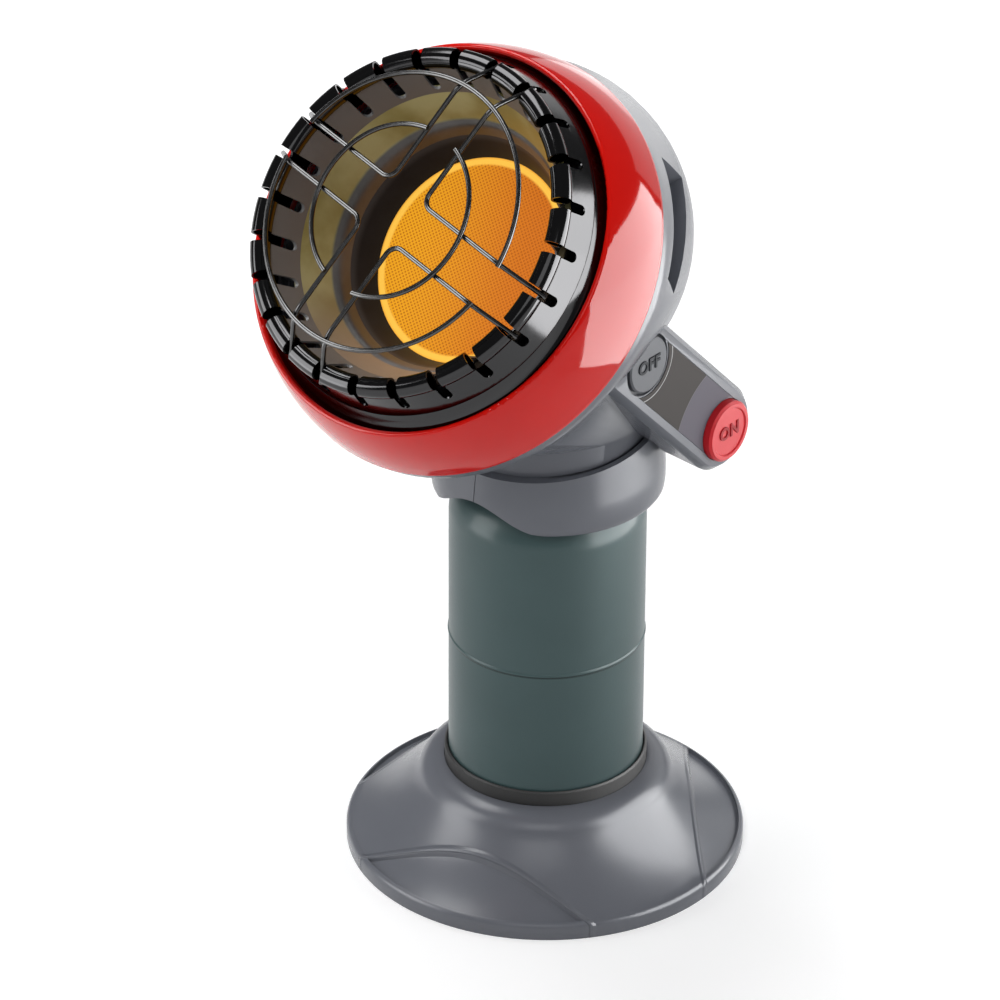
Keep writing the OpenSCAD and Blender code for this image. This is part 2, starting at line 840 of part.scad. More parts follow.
module off_switch() {
    color([0.15, 0.15, 0.15]) on_strip(off_yz) difference() {
        translate([-10, -5, back_x - 24]) cube([20, 10, 14]);
        disc(2.1, back_x - 18, back_x);
    }
}

module switch_plunger() {
    color([0.85, 0.2, 0.15]) on_strip(off_yz)
        disc(2, back_x - 12, back_x - 2);
}

elec_r = 66;
elec_a = 45;
module electrode() {
    color([0.92, 0.92, 0.9]) in_head() rotate([0, 0, elec_a])
        translate([elec_r, 0, 0]) {
            disc(2.2, shield_s - 10, shield_s + 28);
            disc(3.4, shield_s + 14.5, shield_s + 18.5);
        }
}

module thermocouple() {
    color([0.75, 0.5, 0.35]) in_head() rotate([0, 0, 180 - elec_a])
        translate([elec_r, 0, 0]) {
            disc(2.2, shield_s - 6, shield_s + 28);
            disc(3.4, shield_s + 14.5, shield_s + 18.5);
        }
}

module igniter_lead() {
    x = valve_x[0] + 7;
    e = elec_r * cos(elec_a);
    color([0.75, 0.2, 0.15]) tube(run([side_point(x, 6.3),
        side_point(x, 12), side_point(x - 2, 34), side_point(x - 8, 58),
        [48, 8, head_z + 18], head_point(e, e, shield_s - 18),
        head_point(e, e, shield_s - 10.2)], 3), 1.2, 8);
}

module tip_switch() {
    color([0.85, 0.85, 0.8]) in_head() translate([-22, 10, shield_s - 13])
        cube([18, 14, 12]);
}

// ================= guard =================
lap = 0.05;                           // the wire's lengths run into its bends
module rod(l) {
    translate([0, 0, -lap]) cylinder(r = wire_r, h = l + 2 * lap, $fn = 48);
}

module wire_bend(r, a) {
    rotate_extrude(angle = a) translate([r, 0])
        circle(r = wire_r + 0.01, $fn = 48);
}

// half of an L: a flat leg along +X that bends down 45 degrees at its end
module leg(start) {
    x1 = leg_flat + 6 - leg_bend * tan(22.5);
    dx = leg_bend * sin(45);
    dz = leg_bend - leg_bend * cos(45);
    translate([start, 0, 0]) rotate([0, 90, 0]) rod(x1 - start);
    translate([x1, 0, -leg_bend]) rotate([90, -45, 0])
        wire_bend(leg_bend, 45);
    translate([x1 + dx, 0, -dz]) rotate([0, 135, 0])
        rod((leg_end - x1 - dx) / cos(45));
}

// corner between two arms a quarter turn apart, in the first arm's frame
module guard_corner() {
    c = leg_off + corner_r;
    translate([0, leg_off, leg_s]) leg(c);
    translate([leg_off, 0, leg_s]) rotate([0, 0, 90]) leg(c);
    translate([c, c, leg_s]) rotate([0, 0, 180]) wire_bend(corner_r, 90);
}

module guard_legs() {
    color([0.5, 0.5, 0.5]) in_head() for (k = [0 : 3])
        rotate([0, 0, arm0 + 90 * k]) guard_corner();
}

// angle at which a leg's axis crosses radius r
function cross_a(r) = asin(leg_off / r);

module guard_arc(r, s, a1, a2) {
    in_head() translate([0, 0, s]) rotate([0, 0, a1])
        wire_bend(r, a2 - a1);
}

module guard_outer_ring() {
    reach = cross_a(ring_out);
    over = 1.2;
    s = leg_s + 2 * wire_r - 0.9;
    color([0.5, 0.5, 0.5]) {
        guard_arc(ring_out, s, arm0 + reach - over,
            arm0 + 180 - reach + over);
        guard_arc(ring_out, s, arm0 + 180 + reach - over,
            arm0 + 360 - reach + over);
    }
}

module guard_inner_ring() {
    reach = cross_a(ring_in);
    over = 1.8;
    s = leg_s + 2 * wire_r + 0.02;
    color([0.5, 0.5, 0.5]) {
        guard_arc(ring_in, s, arm0 + 90 + reach - over,
            arm0 + 270 - reach + over);
        guard_arc(ring_in, s, arm0 + 270 + reach - over,
            arm0 + 450 - reach + over);
    }
}

// ================= collar =================
function arch(x) = let (t = asin(max(-1, min(1, x / collar_r))))
    abs(t) >= arch_half ? 0 : arch_h * pow(cos(t * 90 / arch_half), 2);

module collar_shell() {
    r = collar_r;
    w = collar_wall;
    top = seam_z + 14;
    n = 24;
    half = collar_r * sin(arch_half);
    difference() {
        rotate_extrude() {
            polygon([[r - w - 1, collar_z], [r - 1.4, collar_z],
                [r - 0.4, collar_z + 1.4], [r, collar_z + 5],
                [r, collar_z + 13], [r - 1, collar_z + 22],
                [r - 2.4, collar_z + collar_h], [r - 2.4, top],
                [r - 2.4 - w, top], [r - 2.4 - w, collar_z + collar_h],
                [r - 1 - w, collar_z + 22], [r - w - 0.4, collar_z + 8]]);
            polygon([[neck_r + 6.6, shelf_z], [r - w, shelf_z],
                [r - w, shelf_z + shelf_t], [neck_r + 6.6, can_z]]);
            polygon([[spigot_r - 2.4, seam_z - 9], [r - w, seam_z - 9],
                [r - w, seam_z - 6], [spigot_r, seam_z - 6],
                [spigot_r, top], [spigot_r - 2.4, top]]);
        }
        translate([0, 0, seam_z]) rotate([seam_tilt, 0, 0])
            ring(spigot_r + 0.6, 200, 0, 60);
        translate([0, 0, seam_z + 5]) rotate([seam_tilt, 0, 0])
            disc(200, 0, 60);
        translate([0, 1, 0]) rotate([90, 0, 0])
            linear_extrude(height = collar_r + 20) polygon(concat(
                [[-half, collar_z - 5]],
                [for (k = [-n : n]) let (x = half * k / n)
                    [x, collar_z + arch(x)]],
                [[half, collar_z - 5]]));
    }
}

screw_z = shelf_z + 13;
module collar_half() {
    difference() {
        union() {
            collar_shell();
            // ears that the screws pull together behind the regulator
            for (z = [shelf_z - 8, screw_z]) intersection() {
                translate([-7, 0, z - 4])
                    cube([14, collar_r - 3, 8]);
                ring(can_r + 3, collar_r - 3.5, z - 4, z + 4);
            }
        }
        for (z = [shelf_z - 8, screw_z])
            translate([-30, can_r + 12, z]) rotate([0, 90, 0])
                disc(1.7, 0, 60);
    }
}

module collar_right() {
    color(plastic) intersection() {
        collar_half();
        translate([0.2, -200, 0]) cube([200, 400, 400]);
    }
}

module collar_left() {
    color(plastic) intersection() {
        collar_half();
        translate([-200.2, -200, 0]) cube([200, 400, 400]);
    }
}

module collar_screws() {
    color(steel) for (z = [shelf_z - 8, screw_z])
        translate([0, can_r + 12, z]) rotate([0, 90, 0]) {
            disc(1.5, -7, 7);
            disc(3, 7, 9);
        }
}

foot_base();
socket_liner();
gas_cylinder();
cylinder_valve();
valve_core();
inlet_seal();
regulator_body();
diaphragm();
regulator_spring();
regulator_cap();
supply_tube();
valve_body();
valve_stem();
burner_tube();
jet_holder();
mixer_tube();
burner_cup();
tile_gasket();
ceramic_tile();
tile_frame();
reflector_dish();
slotted_rim();
heat_shield();
bezel_ring();
rear_housing();
label_plate();
on_button();
off_button();
off_switch();
switch_plunger();
piezo_igniter();
igniter_plunger();
igniter_lead();
electrode();
thermocouple();
tip_switch();
guard_legs();
guard_outer_ring();
guard_inner_ring();
collar_left();
collar_right();
collar_screws();
shield_screws();
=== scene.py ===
import json
import math

import bpy
from mathutils import Matrix, Vector

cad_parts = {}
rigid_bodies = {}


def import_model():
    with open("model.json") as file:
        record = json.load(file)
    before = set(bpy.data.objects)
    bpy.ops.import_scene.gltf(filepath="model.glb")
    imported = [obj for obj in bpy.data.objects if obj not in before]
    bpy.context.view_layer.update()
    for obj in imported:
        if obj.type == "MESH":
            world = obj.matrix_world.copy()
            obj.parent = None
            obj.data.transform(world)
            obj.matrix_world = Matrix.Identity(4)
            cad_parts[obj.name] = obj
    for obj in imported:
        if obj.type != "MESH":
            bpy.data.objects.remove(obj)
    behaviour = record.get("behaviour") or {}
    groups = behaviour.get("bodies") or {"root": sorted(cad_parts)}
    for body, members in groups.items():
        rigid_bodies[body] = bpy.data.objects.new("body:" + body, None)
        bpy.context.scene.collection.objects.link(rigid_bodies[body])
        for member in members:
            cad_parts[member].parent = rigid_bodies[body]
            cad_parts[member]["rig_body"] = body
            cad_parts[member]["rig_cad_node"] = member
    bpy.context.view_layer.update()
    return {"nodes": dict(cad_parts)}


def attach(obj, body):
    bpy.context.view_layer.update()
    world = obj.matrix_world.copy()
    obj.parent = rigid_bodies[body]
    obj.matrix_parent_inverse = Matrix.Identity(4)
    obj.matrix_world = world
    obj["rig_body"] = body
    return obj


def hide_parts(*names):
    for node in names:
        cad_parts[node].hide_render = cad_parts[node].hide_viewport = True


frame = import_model()
nodes = frame["nodes"]

# the burner's own axes: across, up its face and out along its axis
headTilt = math.radians(40)
headPivot = Vector((0, 0, 0.3018))
across = Vector((1, 0, 0))
upFace = Vector((0, math.sin(headTilt), math.cos(headTilt)))
outward = Vector((0, -math.cos(headTilt), math.sin(headTilt)))


# ---- shader maths
class Signal:
    def __init__(self, finish, socket):
        self.finish, self.socket = finish, socket

    def __add__(self, other):
        return self.finish.maths("ADD", self, other)

    def __sub__(self, other):
        return self.finish.maths("SUBTRACT", self, other)

    def __rsub__(self, other):
        return self.finish.maths("SUBTRACT", other, self)

    def __mul__(self, other):
        return self.finish.maths("MULTIPLY", self, other)

    def __truediv__(self, other):
        return self.finish.maths("DIVIDE", self, other)

    __radd__ = __add__


class Finish:
    def __init__(self, name, **fixed):
        self.material = bpy.data.materials.new(name)
        self.material.use_nodes = True
        self.tree = self.material.node_tree
        self.shader = self.tree.nodes["Principled BSDF"]
        self.position = None
        for socketName, value in fixed.items():
            self.feed(socketName, value)

    def feed(self, socketName, value):
        socket = self.shader.inputs[socketTitles.get(socketName, socketName)]
        self.join(socket, value)

    def join(self, socket, value):
        if isinstance(value, Signal):
            self.tree.links.new(value.socket, socket)
        elif isinstance(value, (tuple, list, Vector)) and len(socket.default_value) == 4:
            socket.default_value = (*value[:3], 1)
        else:
            socket.default_value = value

    def node(self, kind, settings, sockets, output=0):
        made = self.tree.nodes.new(kind)
        for key, value in settings.items():
            setattr(made, key, value)
        for key, value in sockets.items():
            self.join(made.inputs[key], value)
        return Signal(self, made.outputs[output])

    def maths(self, operation, *values):
        return self.node("ShaderNodeMath", {"operation": operation}, dict(enumerate(values)))

    # the surface's own place, in the object's coordinates
    def where(self):
        if self.position is None:
            self.position = self.node("ShaderNodeTexCoord", {}, {}, "Object")
        return self.position

    # distance of the surface from origin along axis
    def along(self, axis, origin=(0, 0, 0)):
        shifted = self.node("ShaderNodeVectorMath", {"operation": "SUBTRACT"},
                            {0: self.where(), 1: Vector(origin)})
        return self.node("ShaderNodeVectorMath", {"operation": "DOT_PRODUCT"},
                         {0: shifted, 1: Vector(axis)}, "Value")

    def length(self, a, b):
        return self.maths("SQRT", a * a + b * b)

    # 0 below low, 1 above high, smooth between them
    def rise(self, value, low, high):
        return self.node("ShaderNodeMapRange", {"interpolation_type": "SMOOTHSTEP"},
                         {"Value": value, "From Min": low, "From Max": high})

    def blend(self, amount, first, second):
        return self.node("ShaderNodeMix", {"data_type": "RGBA"},
                         {0: amount, 6: first, 7: second}, 2)

    def noise(self, scale, detail=2.0, stretch=(1, 1, 1)):
        place = self.node("ShaderNodeMapping", {}, {"Vector": self.where(), "Scale": stretch})
        return self.node("ShaderNodeTexNoise", {},
                         {"Vector": place, "Scale": scale, "Detail": detail})

    # height runs from 0 to 1, distance is its size in metres
    def bump(self, height, distance):
        self.feed("normal", self.node("ShaderNodeBump", {},
                  {"Height": height, "Distance": distance, "Strength": 1.0}))

    # a shade that drifts a little lighter and darker over the surface
    def mottle(self, shade, scale, spread):
        darker, lighter = ([c * (1 + side * spread) for c in shade] for side in (-1, 1))
        return self.blend(self.noise(scale, 3), darker, lighter)


socketTitles = {
    "colour": "Base Color", "roughness": "Roughness", "metallic": "Metallic",
    "coat": "Coat Weight", "coatRoughness": "Coat Roughness", "normal": "Normal",
    "glow": "Emission Color", "glowStrength": "Emission Strength",
    "specular": "Specular IOR Level",
}

# the head's outer mouldings, the collar and the foot are one grey plastic
greyShade = (0.135, 0.142, 0.162)


def mouldedPlastic(name, shade, grain, roughness, specular=0.3):
    finish = Finish(name, specular=specular)
    fine = finish.noise(1900, 2)
    finish.feed("colour", finish.mottle(shade, 38, 0.07))
    finish.feed("roughness", roughness - 0.05 + fine * 0.1)
    finish.bump(fine, grain)
    return finish.material


def bareMetal(name, shade, roughness, streak=(1, 1, 1), scale=900):
    finish = Finish(name, metallic=1.0)
    grain = finish.noise(scale, 3, streak)
    finish.feed("colour", finish.blend(grain, [c * 0.85 for c in shade], shade))
    finish.feed("roughness", roughness - 0.06 + grain * 0.12)
    finish.bump(grain, 0.00002)
    return finish.material


# a soft ridge follows the inner edge of each of the three sunk panels: turns are the
# panels' directions in degrees, near is the edge's nearest point to the foot's axis
def footPlastic():
    panel = {"turns": (-78, 42, 162), "near": 0.0750, "arc": 0.640, "width": 0.0032,
             "ridgeHeight": 0.0008}
    finish = Finish("footGreyPlastic", specular=0.35)
    fine = finish.noise(1900, 2)
    ridge = 0
    for turn in panel["turns"]:
        turn = math.radians(turn)
        x = finish.along((math.cos(turn), math.sin(turn), 0))
        y = finish.along((-math.sin(turn), math.cos(turn), 0))
        reach = panel["arc"] - finish.length(x - (panel["near"] + panel["arc"]), y)
        up = finish.rise(reach, -panel["width"], -panel["width"] * 0.45)
        ridge = up * (1 - finish.rise(reach, -panel["width"] * 0.25, 0.0)) + ridge
    finish.feed("colour", finish.mottle(greyShade, 38, 0.07))
    finish.feed("roughness", 0.2 + fine * 0.1)
    finish.bump(ridge + fine * 0.04, panel["ridgeHeight"])
    return finish.material


def glossRed():
    finish = Finish("glossRedPlastic", coat=0.3, coatRoughness=0.03, specular=0.14)
    cloud = finish.noise(30, 2)
    finish.feed("colour", finish.blend(cloud, (0.6, 0.004, 0.002), (0.66, 0.007, 0.003)))
    finish.feed("roughness", 0.07 + finish.noise(700, 2) * 0.03)
    finish.bump(finish.noise(14, 1), 0.00012)
    return finish.material


# seam is the height of the shell's weld; under it runs a thin painted shade line, the shade
# under the weld's bead; the line is darkest up to lineDark from its middle and gone at
# lineClear
def cylinderPaint():
    paint = {"green": (0.052, 0.087, 0.089), "paintedShade": (0.02, 0.032, 0.032), "seam": 0.1215,
             "lineBelow": 0.0009, "lineDark": 0.0002, "lineClear": 0.0009}
    finish = Finish("cylinderPaint", coat=0.2, coatRoughness=0.2, specular=0.15)
    height = finish.along((0, 0, 1))
    green = finish.mottle(paint["green"], 26, 0.1)
    off = finish.maths("ABSOLUTE", height - (paint["seam"] - paint["lineBelow"]))
    clear = finish.rise(off, paint["lineDark"], paint["lineClear"])
    # painted shade: the dark line under the weld's bead, green elsewhere
    finish.feed("colour", finish.blend(clear, paint["paintedShade"], green))
    peel = finish.noise(800, 2)
    finish.feed("roughness", 0.36 + peel * 0.08)
    finish.bump(peel, 0.00003)
    return finish.material


def darkRubber():
    finish = Finish("blackRubber", roughness=0.55)
    fine = finish.noise(1500, 2)
    finish.feed("colour", finish.blend(fine, (0.008, 0.008, 0.008), (0.016, 0.016, 0.016)))
    finish.bump(fine, 0.00003)
    return finish.material


# dark chrome outside, and heat-dulled on the wall inside the rolled bead
def rimChrome():
    rim = {"beadRadius": 0.0810, "beadOut": 0.1382, "chrome": (0.044, 0.044, 0.045),
           "wall": (0.14, 0.138, 0.137)}
    finish = Finish("rimChrome")
    radius = finish.length(finish.along(across), finish.along(upFace, headPivot))
    out = finish.along(outward, headPivot)
    inside = 1 - finish.rise(
        radius, rim["beadRadius"] - 0.0042, rim["beadRadius"] - 0.0034)
    deep = 1 - finish.rise(out, rim["beadOut"] - 0.003, rim["beadOut"] - 0.001)
    wall = inside * deep
    cloud = finish.noise(55, 3)
    finish.feed("colour", finish.blend(wall, rim["chrome"], rim["wall"]))
    finish.feed("metallic", 1 - wall * 0.8)
    finish.feed("roughness", 0.09 + wall * 0.36 + cloud * 0.04)
    finish.bump(finish.noise(300, 2), 0.00001)
    return finish.material


def guardChrome():
    finish = Finish("guardChrome", metallic=1.0)
    cloud = finish.noise(300, 3)
    finish.feed("colour", finish.blend(cloud, (0.055, 0.055, 0.055), (0.105, 0.105, 0.105)))
    finish.feed("roughness", 0.18 + cloud * 0.1)
    return finish.material


# heat-tinted steel: olive above, brown below and towards +X, with a grey rolled ring at
# the frame
def dishSteel():
    dish = {"rollFrom": 0.0581, "rollTop": 0.0605, "rollTo": 0.0632, "rollHeight": 0.0014}
    finish = Finish("dishSteel", metallic=0.3)
    x = finish.along(across)
    v = finish.along(upFace, headPivot)
    radius = finish.length(x, v)
    cloud = finish.rise(finish.noise(32, 4), 0.35, 0.65)
    olive = finish.blend(cloud, (0.29, 0.25, 0.085), (0.43, 0.4, 0.19))
    low = finish.rise(x * 0.6 - v, -0.01, 0.06)
    tint = finish.blend(low, olive, (0.3, 0.23, 0.17))
    grey = finish.blend(cloud, (0.075, 0.072, 0.07), (0.125, 0.12, 0.118))
    roll = 1 - finish.rise(radius, dish["rollTo"] - 0.001, dish["rollTo"])
    finish.feed("colour", finish.blend(roll, tint, grey))
    finish.feed("roughness", 0.4 + cloud * 0.12)
    ridge = finish.rise(radius, dish["rollFrom"] - 0.001, dish["rollTop"])
    ridge = ridge * (1 - finish.rise(radius, dish["rollTop"], dish["rollTo"]))
    finish.bump(ridge + finish.noise(140, 2) * 0.03, dish["rollHeight"])
    return finish.material


# nearly black in the recess, a painted shade for the shadow round the tile; lighter on the
# flange round it
def frameSteel():
    steel = {"recessTop": 0.0885, "flangeFoot": 0.0925}
    finish = Finish("frameSteelPaintedShade", metallic=0.2, specular=0.1)
    out = finish.along(outward, headPivot)
    flange = finish.rise(out, steel["recessTop"], steel["flangeFoot"])
    cloud = finish.noise(90, 3)
    # painted shade: the recess's near-black colour stands in for its shadow
    paintedShade = finish.blend(cloud, (0.014, 0.015, 0.018), (0.024, 0.026, 0.031))
    finish.feed("colour", finish.blend(flange, paintedShade, (0.05, 0.054, 0.062)))
    finish.feed("roughness", 0.4 + cloud * 0.15)
    return finish.material


# pitch is the distance between holes in a row, band the plain edge round them
def glowingCeramic():
    tile = {"pitch": 0.0023, "radius": 0.0513, "band": 0.0032, "holeDepth": 0.0004}
    finish = Finish("glowingCeramic", roughness=0.8, specular=0.1, glowStrength=0.9)
    x = finish.along(across)
    v = finish.along(upFace, headPivot)
    radius = finish.length(x, v)
    # rows of holes, every second row moved by half a pitch
    row = v / (tile["pitch"] * 0.5)
    odd = finish.maths("FLOORED_MODULO", finish.maths("FLOOR", row), 2.0)
    columnPlace = finish.maths("FRACT", x / tile["pitch"] + odd * 0.5) - 0.5
    rowPlace = finish.maths("FRACT", row) - 0.5
    hole = 1 - finish.rise(finish.length(columnPlace, rowPlace * 0.5), 0.13, 0.27)
    plain = tile["radius"] - tile["band"]
    rim = finish.rise(radius, plain - 0.0012, plain + 0.0004)
    side = finish.rise(x * 0.8 + v * 0.2, -0.035, 0.03)
    face = finish.blend(side, (0.9, 0.4, 0.015), (0.66, 0.17, 0.012))
    face = finish.blend(hole * 0.75, face, (0.36, 0.08, 0.008))
    edge = finish.rise(radius, tile["radius"] - 0.0012, tile["radius"])
    band = finish.blend(edge * 0.7, (0.98, 0.55, 0.07), (0.75, 0.3, 0.02))
    finish.feed("glow", finish.blend(rim, face, band))
    finish.feed("colour", finish.blend(rim, (0.14, 0.04, 0.006), (0.3, 0.16, 0.03)))
    finish.bump((1 - hole) * (1 - rim) + rim, tile["holeDepth"])
    return finish.material


# two plain tones that part on an arc round ON, and a thin pale arc round OFF
def labelFilm():
    label = {"on": (0.08, 0.0368, 0.2469), "off": (0.08, -0.0249, 0.3086),
             "splitRadius": 0.039, "lineRadius": 0.0195}
    finish = Finish("labelFilm", roughness=0.5, specular=0.06)
    fromOn, fromOff = (
        finish.length(finish.along((0, 1, 0), centre), finish.along((0, 0, 1), centre))
        for centre in (label["on"], label["off"]))
    split = finish.rise(fromOn, label["splitRadius"] - 0.0002, label["splitRadius"] + 0.0001)
    film = finish.blend(split, (0.1, 0.092, 0.112), (0.032, 0.028, 0.026))
    fromLine = finish.maths("ABSOLUTE", fromOff - label["lineRadius"])
    line = 1 - finish.rise(fromLine, 0.0001, 0.0003)
    fromSplit = finish.maths("ABSOLUTE", fromOn - label["splitRadius"])
    edge = 1 - finish.rise(fromSplit, 0.0001, 0.0003)
    film = finish.blend(edge * 0.35, film, (0.3, 0.29, 0.32))
    finish.feed("colour", finish.blend(line * 0.8, film, (0.7, 0.7, 0.7)))
    finish.bump(finish.noise(1200, 2), 0.00001)
    return finish.material


finishes = {
    "grey": mouldedPlastic("greyPlastic", greyShade, 0.00003, 0.25, 0.26),
    "foot": footPlastic(),
    "red": glossRed(),
    "cylinder": cylinderPaint(),
    "rubber": darkRubber(),
    "rim": rimChrome(),
    "guard": guardChrome(),
    "dish": dishSteel(),
    "frame": frameSteel(),
    "tile": glowingCeramic(),
    "label": labelFilm(),
    "onRed": mouldedPlastic("onButtonRed", (0.56, 0.018, 0.026), 0.00002, 0.36, 0.2),
    "offGrey": mouldedPlastic("offButtonGrey", (0.085, 0.089, 0.099), 0.00003, 0.4, 0.12),
    # painted shade: the ON and OFF letters are darker than their caps, standing in for the
    # shade of their relief
    "onLetterShade": mouldedPlastic("onLetterRedPaintedShade", (0.3, 0.012, 0.018), 0.00002, 0.4, 0.08),
    "offLetterShade": mouldedPlastic("offLetterGreyPaintedShade", (0.02, 0.022, 0.026), 0.00002, 0.4, 0.05),
    "black": mouldedPlastic("blackPlastic", (0.012, 0.012, 0.013), 0.00002, 0.45),
    "white": mouldedPlastic("whitePlastic", (0.75, 0.75, 0.7), 0.00002, 0.4),
    "lead": mouldedPlastic("redLead", (0.5, 0.03, 0.02), 0.00001, 0.5),
    "steel": bareMetal("plainSteel", (0.55, 0.55, 0.56), 0.32),
    "brass": bareMetal("turnedBrass", (0.75, 0.52, 0.2), 0.25, (1, 1, 12)),
    "zinc": bareMetal("castZinc", (0.42, 0.41, 0.39), 0.5, scale=500),
    "copper": bareMetal("drawnCopper", (0.75, 0.38, 0.24), 0.28),
    "fibre": mouldedPlastic("fibreGasket", (0.7, 0.67, 0.6), 0.0001, 0.9),
}
print("finishes made:", len(finishes))


# ---- pieces
def deselect():
    bpy.ops.object.select_all(action="DESELECT")


def activate(piece):
    deselect()
    piece.select_set(True)
    bpy.context.view_layer.objects.active = piece


def finishMesh(piece, finish, angle):
    activate(piece)
    bpy.ops.object.shade_smooth_by_angle(angle=math.radians(angle))
    piece.data.materials.clear()
    piece.data.materials.append(finishes[finish])


# a welded copy of a CAD node, so that it shades smoothly; weld is the distance within
# which points merge, and bevel the rounding of its sharp edges
def weldedCopy(node, name, finish, body, angle, bevel, weld):
    source = nodes[node]
    piece = source.copy()
    piece.data = source.data.copy()
    piece.parent = None
    piece.name = name
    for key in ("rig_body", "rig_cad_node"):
        del piece[key]
    bpy.context.scene.collection.objects.link(piece)
    activate(piece)
    bpy.ops.mesh.customdata_custom_splitnormals_clear()
    bpy.ops.object.mode_set(mode="EDIT")
    bpy.ops.mesh.select_all(action="SELECT")
    bpy.ops.mesh.remove_doubles(threshold=weld)
    bpy.ops.object.mode_set(mode="OBJECT")
    if bevel:
        # the CAD's flat faces come back from triangles before their edges are rounded
        bpy.ops.object.mode_set(mode="EDIT")
        bpy.ops.mesh.select_all(action="SELECT")
        bpy.ops.mesh.dissolve_limited(angle_limit=math.radians(0.5))
        bpy.ops.object.mode_set(mode="OBJECT")
        rounding = piece.modifiers.new("edgeRounding", "BEVEL")
        rounding.width = bevel
        rounding.segments = 3
        rounding.limit_method = "ANGLE"
        rounding.angle_limit = math.radians(28)
        bpy.ops.object.modifier_apply(modifier="edgeRounding")
    finishMesh(piece, finish, angle)
    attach(piece, body)
    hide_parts(node)
    return piece


# CAD node: name of the copy, finish, body, smoothing angle in degrees, material slot
shown = {
    "bezel_ring": ("bezelRing", "red", "head", 30, "red_plastic"),
    "slotted_rim": ("slottedRim", "rim", "head", 40, "rim_chrome"),
    "reflector_dish": ("reflectorDish", "dish", "head", 30, "dish_steel"),
    "tile_frame": ("tileFrame", "frame", "head", 30, "dark_steel"),
    "ceramic_tile": ("ceramicTile", "tile", "head", 30, "ceramic"),
    "rear_housing": ("rearHousing", "grey", "head", 42, "grey_plastic"),
    "collar_left": ("collarLeft", "grey", "head", 30, "grey_plastic"),
    "collar_right": ("collarRight", "grey", "head", 30, "grey_plastic"),
    "label_plate": ("labelPlate", "label", "head", 30, "label_film"),
    "on_button": ("onButton", "onRed", "on_button", 30, "red_button"),
    "off_button": ("offButton", "offGrey", "off_button", 30, "grey_button"),
    "guard_legs": ("guardLegs", "guard", "head", 60, "guard_chrome"),
    "guard_outer_ring": ("guardOuterRing", "guard", "head", 60, "guard_chrome"),
    "guard_inner_ring": ("guardInnerRing", "guard", "head", 60, "guard_chrome"),
    "gas_cylinder": ("gasCylinder", "cylinder", "cylinder", 30, "cylinder_paint"),
    "foot_base": ("footBase", "foot", "foot", 30, "grey_plastic"),
    "socket_liner": ("socketLiner", "rubber", "foot", 30, "black_rubber"),
}
roundedEdges = {"foot_base": 0.0007}
widerWelds = {"slotted_rim": 0.00005}
for node, (name, finish, body, angle, slot) in shown.items():
    bevel = roundedEdges.get(node, 0.0)
    weld = widerWelds.get(node, 0.000002)
    weldedCopy(node, name, finish, body, angle, bevel, weld)
print("welded copies made:", len(shown))


# the foot of the rim's band turns out in a narrow brim that closes on the bezel's lip
def rimBrim():
    brim = {"edges": 240, "sheet": 0.0005, "drop": 0.0018,
            # radius, place along the burner's axis, share of the bezel's drop
            "rings": ((0.0894, 0.1212, 0), (0.0908, 0.1180, 0.3), (0.0922, 0.1159, 0.7),
                      (0.0935, 0.1150, 1), (0.0938, 0.1142, 1))}
    radius, out, share = brim["rings"][0]
    deselect()
    bpy.ops.mesh.primitive_circle_add(vertices=brim["edges"], radius=radius,
                                      location=headPivot + outward * out,
                                      rotation=(math.pi / 2 - headTilt, 0, 0))
    piece = bpy.context.object
    piece.name = "rimBrim"
    bpy.ops.object.transform_apply(location=True, rotation=True, scale=True)
    bpy.ops.object.mode_set(mode="EDIT")
    bpy.ops.mesh.select_all(action="SELECT")
    for nextRadius, nextOut, nextShare in brim["rings"][1:]:
        step = outward * (nextOut - out) - upFace * (nextShare - share) * brim["drop"]
        centre = headPivot + outward * nextOut - upFace * nextShare * brim["drop"]
        grow = nextRadius / radius
        bpy.ops.mesh.extrude_edges_move(TRANSFORM_OT_translate={"value": step})
        bpy.ops.transform.resize(value=(grow, grow, grow), center_override=centre)
        radius, out, share = nextRadius, nextOut, nextShare
    bpy.ops.mesh.select_all(action="SELECT")
    bpy.ops.object.mode_set(mode="OBJECT")
    if piece.data.polygons[0].normal.dot(outward) < 0:
        bpy.ops.object.mode_set(mode="EDIT")
        bpy.ops.mesh.flip_normals()
        bpy.ops.object.mode_set(mode="OBJECT")
    wall = piece.modifiers.new("sheetWall", "SOLIDIFY")
    wall.thickness = brim["sheet"]
    wall.offset = -1
    bpy.ops.object.modifier_apply(modifier="sheetWall")
    finishMesh(piece, "rim", 50)
    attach(piece, "head")


rimBrim()
print("rim's brim made")

carried = {
    "cylinder_valve": "brass", "valve_core": "steel", "inlet_seal": "rubber",
    "regulator_body": "zinc", "diaphragm": "rubber", "regulator_spring": "steel",
    "regulator_cap": "zinc", "supply_tube": "copper", "valve_body": "brass",
    "valve_stem": "steel", "burner_tube": "copper", "jet_holder": "brass",
    "mixer_tube": "steel", "burner_cup": "steel", "tile_gasket": "fibre",
    "heat_shield": "steel", "off_switch": "black", "switch_plunger": "onRed",
    "piezo_igniter": "black", "igniter_plunger": "white", "igniter_lead": "lead",
    "electrode": "white", "thermocouple": "copper", "tip_switch": "white",
    "collar_screws": "steel", "shield_screws": "steel",
}
for node, finish in carried.items():
    nodes[node].data.materials.clear()
    nodes[node].data.materials.append(finishes[finish])
print("carried nodes painted:", len(carried))


